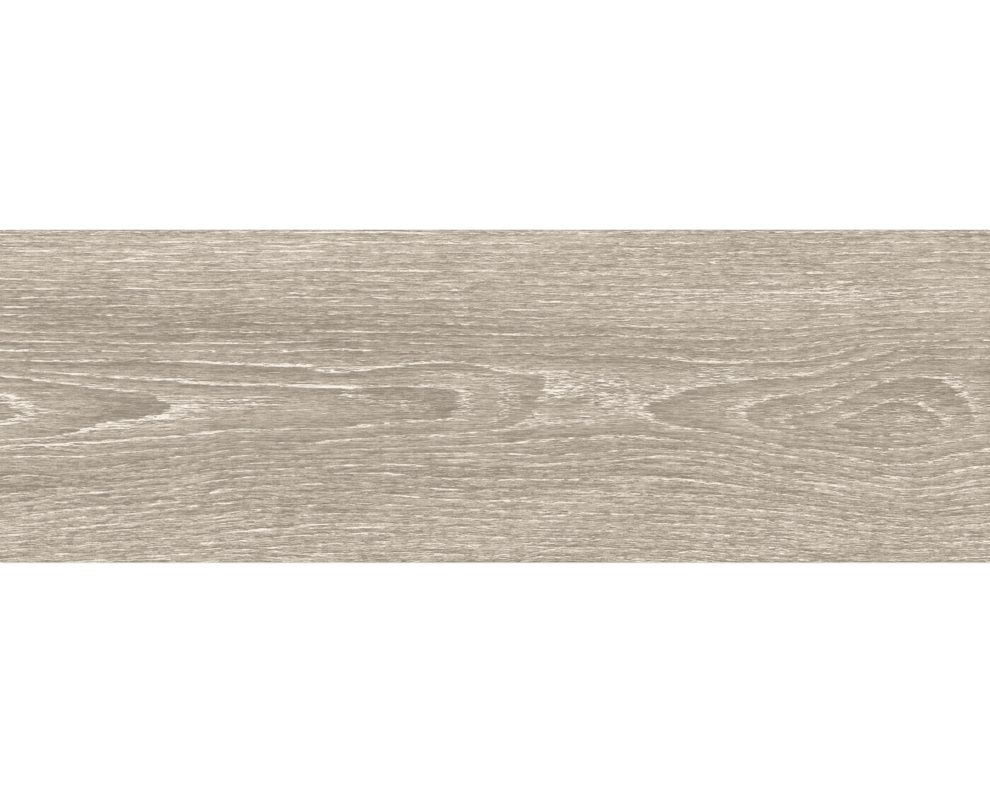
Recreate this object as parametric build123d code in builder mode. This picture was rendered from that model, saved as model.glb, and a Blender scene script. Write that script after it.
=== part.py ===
from build123d import *

import os

# Wood-look ceramic floor tile: one plank, pressed and fired in one piece, lying on its back.
# Millimetres, +Z up out of the glazed face, +X along the plank.
# The origin is on the floor, under the middle of the tile.

# Outline and thickness
tile_length = 600.0
tile_width = 200.0
tile_thickness = 9.0
corner_radius = 1.5
arris_radius = 0.8

# Side walls: an upright land under the face, then a foot that draws in to the back,
# so that the tile leaves its die and the joint holds more adhesive at its root
foot_height = 4.0
foot_draft = 14.0
back_edge_radius = 0.5

# Key pattern on the back: shallow square cells, pressed in between crossing ribs
key_pitch = 25.0
rib_width = 3.0
key_depth = 0.7
key_draft = 30.0
key_corner = 2.0
back_border = 8.0

key_size = key_pitch - rib_width


def keys_across(span):
    """How many key cells fit in a row across the back, inside its plain border."""
    return int((span - 2 * back_border + rib_width) // key_pitch)


# Die stud that presses one key cell: widest at the back, with sloping walls and cut corners
with BuildPart() as key_stud:
    with BuildSketch(Plane.XY) as key_outline:
        Rectangle(key_size, key_size)
        chamfer(key_outline.vertices(), length=key_corner)
    extrude(amount=key_depth, taper=key_draft)

with BuildPart() as floor_tile:
    # Upright land, which carries the face and meets the joint
    with BuildSketch(Plane.XY.offset(foot_height)):
        RectangleRounded(tile_length, tile_width, corner_radius)
    extrude(amount=tile_thickness - foot_height)

    # Foot under the land, narrower towards the back
    land_underside = floor_tile.faces().sort_by(Axis.Z)[0]
    extrude(land_underside, amount=foot_height, taper=foot_draft)

    # Softened edges of the face and of the back
    face = floor_tile.faces().sort_by(Axis.Z)[-1]
    fillet(face.edges(), radius=arris_radius)
    back = floor_tile.faces().sort_by(Axis.Z)[0]
    fillet(back.edges(), radius=back_edge_radius)

    # Key cells, as many as the flat of the back has room for
    back_flat = floor_tile.faces().sort_by(Axis.Z)[0].bounding_box().size
    with GridLocations(key_pitch, key_pitch, keys_across(back_flat.X), keys_across(back_flat.Y)):
        add(key_stud.part, mode=Mode.SUBTRACT)

floor_tile.part.label = "floor_tile"
os.makedirs("parts", exist_ok=True)
export_step(floor_tile.part, "parts/floor_tile.step")
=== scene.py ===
import math

import bmesh
import bpy
import numpy as np
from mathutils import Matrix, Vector


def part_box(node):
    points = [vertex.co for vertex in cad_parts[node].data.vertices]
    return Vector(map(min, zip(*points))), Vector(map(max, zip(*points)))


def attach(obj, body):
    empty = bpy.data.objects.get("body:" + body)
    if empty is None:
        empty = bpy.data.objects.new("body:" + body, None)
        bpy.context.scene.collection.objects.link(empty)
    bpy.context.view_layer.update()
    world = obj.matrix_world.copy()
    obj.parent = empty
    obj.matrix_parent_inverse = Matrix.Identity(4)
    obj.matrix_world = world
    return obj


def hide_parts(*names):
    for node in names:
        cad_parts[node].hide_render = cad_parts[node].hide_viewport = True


# Wood-look ceramic floor tile, seen square on: a limed-oak print with a pressed grain,
# on a fired body with a keyed back. Metres in the scene, millimetres where a name says so.

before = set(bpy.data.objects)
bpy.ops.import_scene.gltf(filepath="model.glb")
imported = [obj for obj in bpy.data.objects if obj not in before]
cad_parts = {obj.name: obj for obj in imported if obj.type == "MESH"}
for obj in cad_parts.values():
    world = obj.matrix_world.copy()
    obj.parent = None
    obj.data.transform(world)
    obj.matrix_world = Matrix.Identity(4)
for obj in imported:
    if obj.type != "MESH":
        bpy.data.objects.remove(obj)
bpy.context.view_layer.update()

MM = 0.001

# Sizes of the tile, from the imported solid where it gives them
TILE_LOW, TILE_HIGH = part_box("floor_tile")
HALF_LENGTH = TILE_HIGH.x
HALF_WIDTH = TILE_HIGH.y
FACE_LEVEL = TILE_HIGH.z
CORNER_RADIUS = 1.5 * MM
ARRIS_RADIUS = 0.8 * MM
FOOT_HEIGHT = 4.0 * MM
FOOT_DRAFT = math.radians(14.0)
BACK_EDGE_RADIUS = 0.5 * MM
KEY_PITCH = 25.0 * MM
RIB_WIDTH = 3.0 * MM
KEY_DEPTH = 0.7 * MM
KEY_DRAFT = math.radians(30.0)
KEY_CORNER = 2.0 * MM
KEYS_LONG = 23
KEYS_WIDE = 7

# The face is a fine grid: long cells, because the grain runs along the tile
FACE_COLUMNS = 170
FACE_ROWS = 490
ARRIS_STEPS = 3
GRAIN_DEPTH = 0.22 * MM

# The photograph: its frame, and the two long edges of the tile in it
FRAME_WIDTH_PX = 990.0
FRAME_HEIGHT_PX = 792.0
TOP_EDGE_PX = 229.5
BOTTOM_EDGE_PX = 562.5
PX = 2 * HALF_WIDTH / (BOTTOM_EDGE_PX - TOP_EDGE_PX)
CAMERA_HEIGHT = 4.0

# Growth rings of the oak figure: ring number from the heart, share of lime in its pores, and points
# on its inner edge in pixels of the photograph, x to the right and y down
GROWTH_RINGS_PX = [
    (-0.6, 0.1, [(0, 411.5), (892, 419)]),
    (0, 0.9, [(0, 404), (12, 408), (19, 412), (12, 416), (0, 419)]),
    (0, 0.75, [(838, 426), (847, 420), (865, 411), (880, 404), (893, 401), (908, 404), (925, 410),
        (941, 419), (945, 424)]),
    (0, 0.55, [(930, 429), (905, 433.5), (890, 435), (865, 433)]),
    (1, 1, [(0, 376), (25, 379), (50, 382.5), (75, 385.5), (100, 389), (125, 392), (148, 394),
        (160, 398), (168, 402), (172, 406), (166, 411), (154, 416.5), (130, 419), (110, 421),
        (95, 425.5), (80, 430.5), (65, 435.5), (40, 438.5), (0, 440.5)]),
    (1, 0.7, [(769, 421), (795, 417), (812, 415), (825, 412), (835, 406), (845, 400.5), (862, 391),
        (875, 385.5), (890, 380.5), (908, 377.5), (925, 379.5), (942, 382), (952, 386.5), (959, 393),
        (964, 402), (969, 411), (973, 420)]),
    (1, 0.3, [(966, 426), (950, 432), (930, 437), (900, 441), (870, 441), (840, 438.5), (815, 434),
        (795, 428.5), (780, 424)]),
    (2, 0.85, [(0, 369.5), (25, 371), (50, 373), (80, 375), (105, 378), (130, 380), (155, 380.5),
        (175, 383), (200, 384.5), (250, 386.5), (300, 386.5), (345, 388)]),
    (2, 0.5, [(370, 387), (400, 387.5), (430, 387.5), (450, 388.5), (456, 393), (458, 400), (457, 408),
        (455, 414), (445, 418), (420, 419), (400, 419.5)]),
    (2, 0.45, [(385, 421), (370, 423.5), (355, 426), (340, 428.5), (300, 428), (270, 428.5)]),
    (2, 0.95, [(245, 429), (215, 430.5), (200, 434), (170, 436), (142, 436.5), (122, 439.5),
        (100, 440), (75, 441.5), (50, 443.5), (20, 444.5), (0, 446)]),
    (2, 0.6, [(990, 358.5), (970, 360), (950, 360), (925, 359), (910, 360), (898, 363), (888, 367.5),
        (875, 373), (850, 380.5), (840, 385), (828, 389.5), (805, 392.5), (790, 395.5), (770, 399)]),
    (2, 0.9, [(755, 402.5), (742, 408), (745, 414), (755, 419.5)]),
    (2, 0.45, [(768, 425), (785, 430.5), (800, 435), (820, 438.5), (845, 443), (870, 446),
        (900, 447.5), (925, 445), (950, 440), (970, 436), (990, 433)]),
    (2.5, 0.5, [(405, 379), (420, 377), (435, 375), (450, 376), (465, 379), (480, 382), (490, 386),
        (497, 392), (501, 400), (502, 409), (499, 417), (490, 423), (478, 427)]),
    (3, 0.9, [(0, 361), (50, 361.5), (110, 361.5), (160, 362), (200, 362.5), (225, 365), (250, 366.5),
        (285, 366.5), (303, 368), (318, 371), (333, 373), (348, 372.5), (365, 370), (385, 368),
        (405, 366), (425, 364)]),
    (3, 0.55, [(445, 362.5), (460, 363.5), (475, 366), (487, 370), (500, 372.5), (530, 372.5),
        (552, 374)]),
    (3, 0.55, [(550, 382), (544, 388), (540, 395), (538, 402)]),
    (3, 0.45, [(536, 409), (529, 416), (517, 422), (505, 427), (490, 430), (470, 432), (430, 434),
        (400, 434.5)]),
    (3, 0.4, [(355, 437), (335, 439), (318, 442), (300, 443), (280, 442), (262, 440), (245, 441),
        (200, 446), (150, 450), (100, 453.5), (50, 456), (0, 457)]),
    (3, 0.75, [(900, 350.5), (888, 353), (875, 356.5), (862, 361), (850, 365), (840, 369),
        (828, 372.5), (812, 375), (780, 378.5), (750, 379.5), (735, 381.5), (718, 384.5), (700, 387),
        (685, 391.5), (670, 395.5), (657, 400), (651, 406), (649, 413)]),
    (3, 0.5, [(990, 347), (950, 348.5), (920, 349.5)]),
    (3, 0.7, [(652, 419), (662, 423.5), (678, 426.5), (695, 428), (710, 430.5), (725, 434), (740, 438),
        (760, 442.5), (780, 446.5)]),
    (3, 0.5, [(800, 449), (820, 450.5), (835, 454), (850, 458), (868, 461), (885, 464), (905, 465),
        (920, 462), (935, 458), (950, 454.5), (970, 451), (990, 449)]),
    (3.2, 0.9, [(560, 392), (580, 386), (600, 396), (620, 404), (590, 411), (560, 412)]),
    (3.3, 0.9, [(575, 376), (620, 374), (640, 385)]),
    (3.35, 0.9, [(540, 424), (575, 419.5), (610, 418.5)]),
    (3.7, 0.5, [(600, 363), (650, 366), (680, 368), (600, 429), (640, 427)]),
    (4, 0.9, [(0, 351), (50, 352), (95, 351), (140, 351.5), (200, 351), (250, 352.5), (300, 351),
        (340, 350), (380, 351.5), (430, 353)]),
    (4, 0.45, [(480, 354), (510, 353), (535, 354), (555, 356), (600, 354), (650, 357)]),
    (4, 0.7, [(685, 360), (720, 363.5), (760, 362), (800, 361), (815, 359.5), (828, 357), (840, 353),
        (852, 348.5), (868, 345.5), (900, 343)]),
    (4, 0.4, [(950, 341), (990, 341)]),
    (4, 0.4, [(0, 466), (40, 466.5), (62, 468), (85, 471), (100, 469), (112, 466), (130, 462),
        (150, 459.5), (210, 454), (280, 450), (310, 450.5), (370, 449.5), (400, 448)]),
    (4, 0.55, [(435, 446), (490, 444), (520, 441.5), (540, 439), (575, 436.5), (600, 435.5),
        (640, 434), (665, 438), (700, 440), (740, 445)]),
    (4, 0.6, [(760, 450), (780, 454), (800, 457), (815, 459), (825, 462), (840, 466), (860, 469.5),
        (880, 474), (900, 476.5), (935, 476.5), (945, 474.5), (955, 470), (968, 467), (990, 465)]),
    (5, 0.7, [(0, 342), (60, 343), (100, 343), (125, 345), (185, 345.5), (250, 345), (300, 342.5),
        (350, 341.5)]),
    (5, 0.35, [(400, 343), (450, 344.5), (480, 346), (510, 346.5), (560, 346), (600, 345), (650, 347),
        (700, 351), (750, 351), (790, 349.5), (820, 347), (840, 342.5), (870, 338), (900, 336),
        (990, 334.5)]),
    (5, 0.5, [(25, 472.5), (50, 475), (85, 478.5), (100, 477), (115, 474), (135, 471.5), (155, 470),
        (172, 468), (186, 465), (200, 460), (215, 456.5), (245, 454)]),
    (5, 0.4, [(400, 453), (450, 453.5), (500, 453), (545, 455), (600, 451.5)]),
    (5, 0.55, [(620, 450.5), (650, 448.5), (670, 449), (700, 451.5), (720, 453.5), (735, 456.5),
        (750, 459.5), (765, 463), (785, 469), (800, 471.5), (825, 474), (840, 477), (860, 481),
        (875, 485), (890, 488), (905, 489.5), (925, 489), (945, 485.5), (960, 482.5), (990, 479.5)]),
    (6, 0.45, [(0, 332), (100, 333), (200, 331.5), (300, 331), (400, 333), (450, 334.5), (500, 334),
        (560, 336)]),
    (6, 0.45, [(640, 338.5), (700, 339.5), (760, 340), (790, 337), (830, 333), (870, 330), (920, 328),
        (990, 327.5)]),
    (6, 0.45, [(50, 489), (90, 488), (115, 485), (130, 481.5), (150, 478.5), (170, 477.5), (185, 474),
        (200, 471.5)]),
    (6, 0.5, [(250, 463), (280, 461), (310, 460.5), (350, 459.5), (400, 458.5), (430, 459),
        (460, 459.5), (490, 458.5), (505, 460)]),
    (6, 0.8, [(520, 462.5), (545, 464), (570, 462.5), (590, 460), (615, 457.5), (650, 455.5),
        (665, 455.5)]),
    (6, 0.65, [(690, 458), (705, 460.5), (720, 463.5), (735, 466), (750, 469.5), (770, 474.5),
        (790, 478.5), (805, 481), (830, 483), (845, 486.5), (865, 490), (885, 494.5), (910, 496.5),
        (935, 493.5), (960, 489.5), (990, 486)]),
    (7, 0.45, [(0, 324), (100, 325), (200, 324), (300, 324), (400, 325), (500, 326), (600, 325.5),
        (700, 327), (800, 329), (850, 325), (900, 322), (990, 320)]),
    (7, 0.6, [(0, 507), (30, 500.5), (50, 496), (75, 493), (100, 490.5), (150, 488), (175, 483.5),
        (190, 480.5), (205, 476), (215, 474), (235, 472), (250, 469.5)]),
    (7, 0.5, [(290, 467.5), (330, 466), (350, 464), (380, 463), (430, 465), (470, 467), (520, 469),
        (560, 469), (600, 465), (620, 463), (650, 463.5), (685, 462.5), (700, 464.5), (715, 467.5),
        (730, 471), (745, 475), (760, 479), (780, 483), (800, 486.5), (820, 488), (840, 491),
        (860, 496), (885, 501), (910, 503), (940, 501), (965, 498), (990, 495)]),
    (8, 0.5, [(0, 315.5), (60, 316), (140, 318), (165, 316), (200, 313.5), (250, 313.5), (300, 316),
        (335, 314), (400, 313.5), (450, 316), (500, 318), (620, 318), (760, 319.5), (850, 317),
        (900, 314), (990, 312)]),
    (8, 0.5, [(0, 512), (20, 508.5), (40, 504.5), (60, 500), (90, 497), (150, 491), (190, 483.5),
        (205, 480), (240, 477), (280, 474.5), (330, 474), (400, 474.5), (430, 477)]),
    (8, 0.7, [(455, 479), (490, 478.5), (530, 479), (560, 479.5), (590, 478.5), (620, 478), (650, 478),
        (670, 477.5), (690, 479.5)]),
    (8, 0.4, [(710, 482.5), (735, 486), (760, 489.5), (790, 495), (815, 499), (840, 503), (870, 507),
        (900, 510), (940, 509), (965, 506), (990, 503)]),
    (9, 0.65, [(0, 306.5), (60, 307), (100, 306), (180, 306), (230, 306.5), (280, 307), (350, 306),
        (450, 307.5), (500, 309.5), (540, 311), (600, 310), (770, 311), (830, 309), (900, 305),
        (990, 303)]),
    (9, 0.4, [(0, 520), (50, 512), (100, 507), (150, 502.5), (165, 498), (195, 496), (215, 491),
        (250, 488.5), (310, 483.5), (330, 481.5), (375, 482.5), (400, 485), (425, 487.5), (460, 489),
        (500, 490.5), (530, 489), (555, 488.5), (580, 490), (620, 493), (655, 494), (690, 495.5),
        (740, 498), (760, 499), (790, 504), (810, 505.5), (850, 511), (900, 518), (940, 517.5),
        (965, 514.5), (990, 513)]),
    (10, 0.5, [(0, 299), (200, 299), (405, 299.5), (500, 301), (600, 304.5), (760, 303), (850, 302),
        (900, 297), (990, 294)]),
    (10, 0.4, [(0, 528), (60, 519), (150, 511), (200, 505), (250, 499), (335, 492.5), (370, 492.5),
        (430, 498), (490, 500), (550, 501), (650, 505), (760, 510), (850, 520), (900, 527), (950, 526),
        (990, 523)]),
    (13, 0.5, [(0, 270), (250, 271), (500, 272), (750, 274), (990, 270)]),
    (17, 0.5, [(0, 232), (250, 233), (500, 234), (750, 233), (990, 233)]),
    (12, 0.5, [(0, 543), (200, 526), (350, 513), (500, 519), (700, 524), (850, 538), (990, 541)]),
    (14.5, 0.5, [(0, 563), (350, 537), (500, 541), (700, 546), (990, 560)]),
]

# Paler and darker clouds of the print: middle and reach in pixels of the photograph, and how much paler
CLOUDS_PX = [
    # Along the top edge
    (170, 250, 240, 16, 0.11), (530, 238, 130, 9, 0.09), (735, 241, 25, 8, -0.06),
    (890, 246, 100, 14, 0.06), (440, 256, 35, 6, -0.05), (640, 272, 35, 5, 0.07),
    (800, 264, 40, 6, -0.06), (300, 254, 60, 14, 0.06), (895, 258, 35, 10, 0.06),
    (130, 246, 60, 7, -0.05), (560, 276, 50, 7, 0.04), (560, 242, 60, 8, 0.05), (915, 263, 40, 10, 0.04),
    (590, 277, 50, 8, 0.04), (20, 245, 30, 10, 0.04), (150, 281, 80, 6, 0.06), (285, 262, 40, 10, 0.05),
    (80, 254, 40, 6, 0.05), (20, 268, 30, 8, 0.04),
    # Between the top edge and the heart
    (40, 300, 110, 20, -0.09), (850, 308, 190, 22, 0.08), (590, 301, 70, 8, 0.05),
    (680, 318, 110, 8, 0.05), (170, 333, 60, 8, -0.06), (335, 346, 60, 9, -0.08),
    (200, 316, 200, 12, -0.07), (370, 290, 110, 6, -0.05), (270, 322, 330, 17, -0.08),
    (810, 311, 70, 8, -0.09), (735, 299, 70, 6, 0.07), (690, 341, 50, 8, -0.05),
    (420, 335, 120, 7, -0.06), (635, 308, 40, 6, -0.06), (755, 299, 35, 5, 0.05),
    (975, 340, 35, 14, 0.06), (975, 290, 25, 30, 0.06), (790, 296, 60, 7, 0.05), (715, 348, 40, 8, -0.05),
    (865, 350, 40, 8, 0.05),
    # Heart
    (215, 371, 90, 5, -0.09), (60, 364, 140, 4, -0.08), (245, 449, 60, 7, -0.06),
    (860, 455, 120, 14, 0.06), (110, 402, 60, 12, -0.06), (450, 404, 50, 14, -0.04),
    (600, 398, 50, 10, -0.05), (895, 398, 45, 10, -0.05), (300, 372, 70, 6, -0.08),
    (215, 381, 40, 6, -0.06), (470, 378, 50, 7, 0.07), (695, 375, 35, 8, 0.07), (600, 399, 70, 7, -0.06),
    (150, 413, 45, 8, -0.08), (940, 376, 40, 8, -0.06), (890, 423, 35, 5, 0.05), (70, 380, 50, 5, 0.05),
    (375, 390, 35, 6, -0.07), (935, 400, 25, 10, -0.06), (855, 408, 25, 8, -0.06),
    (655, 416, 18, 6, -0.07), (415, 362, 35, 6, -0.06), (455, 408, 16, 10, -0.06),
    (15, 389, 30, 5, -0.05), (60, 434, 70, 8, 0.07), (600, 398, 40, 6, -0.06), (415, 424, 30, 8, -0.06),
    (15, 407, 25, 5, 0.06), (395, 394, 70, 8, -0.06), (515, 400, 35, 8, -0.06), (455, 415, 16, 6, -0.05),
    (85, 380, 60, 5, 0.06), (155, 428, 40, 6, 0.07), (900, 420, 30, 6, 0.05), (75, 421, 40, 4, -0.05),
    (455, 362, 30, 5, -0.05), (526, 392, 16, 24, 0.09), (553, 406, 24, 8, -0.07),
    # Between the heart and the bottom edge
    (440, 470, 100, 4, -0.09), (900, 488, 110, 14, 0.09), (550, 500, 70, 16, 0.05),
    (25, 483, 50, 9, -0.08), (290, 509, 110, 9, -0.07), (890, 524, 110, 8, 0.05),
    (440, 478, 260, 13, -0.09), (300, 498, 330, 14, -0.04), (910, 512, 60, 8, -0.07),
    (800, 496, 60, 8, -0.04), (215, 457, 60, 8, -0.06), (580, 443, 90, 7, -0.05),
    (375, 443, 30, 8, -0.05), (775, 468, 40, 10, 0.05), (340, 512, 60, 10, -0.05),
    (915, 515, 50, 6, -0.05), (975, 455, 30, 16, 0.05), (975, 490, 25, 14, 0.05),
    (800, 502, 50, 8, -0.05), (190, 468, 40, 6, -0.05), (560, 472, 110, 5, -0.04),
    (115, 538, 80, 12, 0.05),
    # A small knot
    (877, 533, 6, 5, -0.10), (866, 531, 7, 5, 0.07),
]

# Places where lime lies in the grain between the ring edges, in the same way
LIME_WASH_PX = [
    (595, 393, 50, 22, 0.08), (575, 421, 45, 4, 0.40), (800, 294, 150, 7, 0.22), (715, 370, 45, 7, 0.30),
    (740, 404, 28, 9, 0.20), (250, 404, 50, 8, 0.25), (15, 412, 30, 7, 0.25), (130, 428, 70, 7, 0.15),
    (40, 445, 60, 5, 0.20), (905, 419, 35, 9, 0.30), (350, 390, 9, 6, 0.45), (365, 397, 14, 4, 0.40),
    (392, 403, 20, 4, 0.38), (420, 409, 18, 4, 0.32), (585, 384, 42, 12, 0.10), (625, 398, 25, 14, 0.08),
    (551, 406, 22, 8, -0.32), (590, 380, 45, 7, 0.10),
]

# A second, false ring round the dark lens, between two rings
FALSE_RING_PX = [
    (478, 395, 60, 32, 1.50),
]

# The longest pores that can be told apart in the photograph: left end, right end and share of lime
LONG_PORES_PX = [
    # Along the top edge
    (260, 245, 293, 247, 0.7), (293, 247, 328, 244, 0.6), (133, 255, 187, 253, 0.7),
    (100, 263, 147, 257, 0.7), (337, 243, 357, 245, 0.7), (460, 271, 497, 270, 0.7),
    (660, 270, 703, 272, 0.5), (0, 280, 23, 279, 0.8), (33, 280, 93, 281, 0.7), (140, 282, 163, 280, 0.7),
    (410, 283, 450, 284, 0.8), (517, 284, 590, 284, 0.7), (200, 290, 233, 289, 0.7),
    (660, 290, 727, 290, 0.7), (750, 293, 847, 292, 0.8), (940, 293, 953, 292, 0.9),
    (623, 297, 640, 296, 1.0),
    # Between the top edge and the heart
    (40, 300, 80, 298, 0.8), (240, 300, 273, 298, 0.5), (330, 301, 340, 301, 0.9),
    (547, 302, 563, 301, 0.8), (820, 303, 867, 305, 0.6), (0, 307, 30, 307, 0.9), (50, 307, 67, 306, 0.8),
    (97, 307, 133, 305, 0.7), (160, 307, 197, 305, 0.9), (330, 312, 360, 312, 0.8),
    (393, 313, 410, 313, 0.8), (503, 310, 530, 310, 0.9), (213, 315, 253, 312, 0.7),
    (820, 315, 857, 314, 0.9), (17, 317, 27, 315, 0.8), (123, 318, 143, 316, 0.8),
    (267, 317, 277, 317, 0.9), (590, 317, 617, 316, 0.6), (893, 322, 943, 320, 0.5),
    (943, 320, 988, 319, 0.6), (367, 323, 397, 325, 0.7), (467, 323, 480, 322, 0.7),
    (80, 327, 97, 326, 0.8), (237, 327, 247, 327, 1.0), (0, 330, 13, 330, 0.9), (183, 329, 203, 329, 0.9),
    (407, 333, 433, 330, 0.7), (650, 330, 659, 329, 0.8), (660, 330, 687, 329, 1.0),
    (867, 330, 900, 327, 0.6), (607, 338, 647, 337, 0.6), (713, 337, 747, 338, 0.7),
    (780, 337, 813, 331, 0.9), (110, 342, 130, 343, 0.8), (127, 344, 160, 343, 0.9),
    (210, 343, 240, 343, 1.0), (843, 348, 873, 347, 0.6), (873, 350, 923, 345, 0.5),
    # In the heart
    (30, 370, 60, 373, 0.7), (60, 373, 93, 376, 0.8), (0, 375, 43, 380, 0.8), (43, 380, 83, 385, 0.9),
    (83, 385, 110, 390, 0.8), (105, 376, 160, 377, 0.7), (177, 382, 233, 384, 0.8),
    (233, 384, 330, 385, 0.8), (0, 402, 20, 403, 1.0), (20, 404, 50, 411, 0.9), (50, 411, 63, 411, 0.6),
    (0, 421, 20, 418, 1.0), (0, 440, 57, 437, 0.9), (57, 437, 83, 431, 0.9), (83, 431, 110, 421, 0.9),
    (83, 431, 130, 427, 0.8), (130, 427, 180, 424, 0.8), (87, 443, 130, 440, 1.0),
    (130, 438, 187, 436, 0.8), (193, 433, 243, 429, 0.9), (167, 395, 213, 398, 0.8),
    (173, 405, 217, 405, 0.8), (190, 411, 240, 409, 0.7), (247, 397, 270, 397, 0.8),
    (250, 412, 317, 409, 0.9), (317, 409, 330, 409, 0.9), (180, 420, 213, 418, 0.7),
    (243, 402, 270, 400, 0.5), (287, 427, 303, 426, 0.7), (330, 368, 357, 367, 0.7),
    (357, 367, 420, 363, 0.6), (443, 362, 477, 365, 0.5), (477, 365, 493, 367, 0.6),
    (493, 370, 543, 371, 0.7), (423, 376, 447, 373, 0.6), (447, 373, 473, 377, 0.7),
    (473, 377, 497, 382, 0.6), (330, 383, 347, 385, 0.8), (370, 385, 453, 387, 0.4),
    (350, 400, 373, 403, 0.6), (373, 403, 413, 405, 0.5), (377, 410, 417, 410, 0.6),
    (375, 420, 400, 417, 0.6), (430, 433, 497, 429, 0.5), (517, 430, 543, 424, 0.7),
    (543, 424, 583, 421, 0.7), (583, 421, 630, 418, 0.6), (543, 390, 563, 382, 0.7),
    (563, 382, 590, 378, 0.5), (597, 370, 623, 368, 0.5), (557, 393, 593, 390, 0.5),
    (590, 407, 617, 405, 0.6), (577, 412, 597, 413, 0.6), (610, 413, 643, 412, 0.6),
    (557, 405, 570, 402, 0.5), (613, 387, 647, 387, 0.5), (617, 393, 640, 397, 0.5),
    (607, 436, 647, 436, 0.5), (660, 356, 680, 357, 0.5), (713, 363, 793, 361, 0.5),
    (793, 361, 833, 355, 0.5), (660, 393, 680, 387, 0.7), (680, 387, 710, 385, 0.7),
    (723, 382, 770, 377, 0.6), (790, 375, 827, 371, 0.6), (660, 428, 700, 429, 0.7),
    (700, 429, 723, 432, 0.6), (660, 440, 693, 442, 0.6), (713, 402, 763, 399, 0.7),
    (763, 399, 800, 392, 0.6), (823, 405, 860, 392, 0.5), (860, 390, 907, 375, 0.6),
    (833, 427, 860, 417, 0.5), (860, 417, 890, 402, 0.5), (890, 422, 913, 418, 0.5),
    (867, 432, 913, 433, 0.5), (943, 360, 988, 357, 0.5), (730, 422, 760, 430, 0.5),
    (810, 438, 843, 442, 0.5),
    # Under the heart
    (165, 454, 177, 453, 0.9), (440, 447, 530, 442, 0.6), (430, 457, 497, 454, 0.7),
    (523, 457, 550, 454, 0.7), (603, 462, 660, 456, 1.0), (703, 455, 730, 456, 0.7),
    (820, 450, 847, 457, 0.6), (25, 468, 48, 461, 0.7), (190, 466, 230, 454, 0.5),
    (330, 466, 367, 465, 0.9), (380, 464, 403, 463, 0.9), (430, 463, 473, 462, 0.7),
    (517, 467, 577, 463, 0.9), (660, 462, 703, 464, 0.8), (757, 465, 777, 471, 0.6),
    (890, 464, 913, 465, 0.8), (190, 476, 232, 470, 0.8), (240, 472, 290, 469, 0.6),
    (727, 468, 743, 472, 0.6), (743, 472, 770, 475, 0.8), (77, 480, 110, 483, 0.5),
    (167, 485, 190, 476, 0.7), (283, 474, 328, 476, 0.4), (457, 478, 497, 479, 0.5),
    (607, 477, 657, 477, 0.9), (660, 477, 690, 481, 0.9), (690, 481, 720, 484, 0.7),
    (800, 482, 847, 487, 0.8), (847, 487, 867, 490, 0.7), (937, 490, 988, 482, 0.6),
    (80, 493, 110, 492, 0.7), (187, 493, 213, 490, 0.6), (213, 490, 240, 489, 0.5),
    (330, 493, 380, 490, 0.5), (560, 490, 593, 493, 0.6), (660, 493, 690, 495, 0.8),
    (690, 495, 723, 496, 0.8), (797, 495, 833, 500, 0.7),
    # Along the bottom edge
    (33, 503, 80, 493, 0.8), (0, 511, 20, 507, 0.7), (137, 508, 160, 503, 0.7), (160, 503, 183, 502, 0.6),
    (417, 497, 457, 501, 0.7), (480, 502, 530, 498, 0.7), (590, 505, 617, 505, 0.6),
    (677, 503, 700, 504, 0.8), (770, 508, 797, 510, 0.8), (807, 509, 823, 511, 0.9),
    (10, 515, 50, 511, 0.6), (203, 520, 253, 512, 0.7), (543, 516, 570, 515, 1.0),
    (700, 516, 727, 515, 0.8), (847, 517, 863, 523, 0.6), (873, 523, 883, 522, 0.9),
    (77, 528, 110, 525, 0.8), (180, 525, 240, 518, 0.6), (97, 532, 137, 529, 0.8),
    (230, 532, 277, 529, 0.8), (277, 529, 328, 528, 0.7), (340, 528, 383, 527, 0.9),
    (387, 525, 457, 524, 0.6), (473, 527, 510, 525, 0.7), (423, 548, 440, 547, 0.6),
]
# How far a long pore and the painted shade along its sides reach across, and how dark that painted shade is
LONG_PORE_REACH_PX = 0.95
PORE_SHADE_OFFSET_PX = 1.7
PORE_SHADE_SHARE = 0.4

# The heart: its middle in the photograph, the ring that bounds it, and in mm how far that ring lies
# from the middle and how wide a ring usually is
HEART_LINE_PX = 405.0
HEART_RING = 4.0
HEART_REACH_MM = 34.0
RING_WIDTH_MM = 5.5

# The fibres: how closely they follow the rings, how much they may spread, and the steps they are traced in
FIBRE_FOLLOW = 0.5
FIBRE_SPREAD = (0.8, 1.25)
FIBRE_COLUMNS = 100
FIBRE_STEPS = 140

# The smooth surface through the points of the rings: how far it is drawn out along the tile, how stiff it is
RING_STRETCH = 4.0
RING_SPAN_PX = 50.0
RING_SMOOTHING = 0.02
LIME_SMOOTHING = 0.002
SLANT_STEP_PX = 6.0
LEAST_SQUARE = 1e-12
PLACES_AT_ONCE = 4096

PRINT_FIELDS = ("ring", "slant", "row", "lime", "cloud", "wash", "false_ring", "long_pore")

# Sizes of the grain's patterns along and across the fibres, in mm
SWAY_MM = (60, 25)
SHORT_THROW_MM = (14, 0.7)
LONG_THROW_MM = (40, 1.4)
DRIFT_MM = (60, 9)
COME_AND_GO_MM = (60, 5)
SHORT_DASH_MM = (3.0, 0.42)
LONG_DASH_MM = (20, 0.55)
DASH_BAND_MM = (40, 2)
PORE_BREAK_MM = (5, 0.5)
CHALK_MM = (5, 0.5)
FLECK_MM = (3.4, 0.45)
SPECKLE_MM = (1.2, 0.5)
FIBRE_MM = (22, 0.5)
FINE_STREAK_MM = (80, 1.6)
BROAD_STREAK_MM = (140, 4)
ARRIS_RAGGEDNESS_MM = (9, 9)
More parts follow.
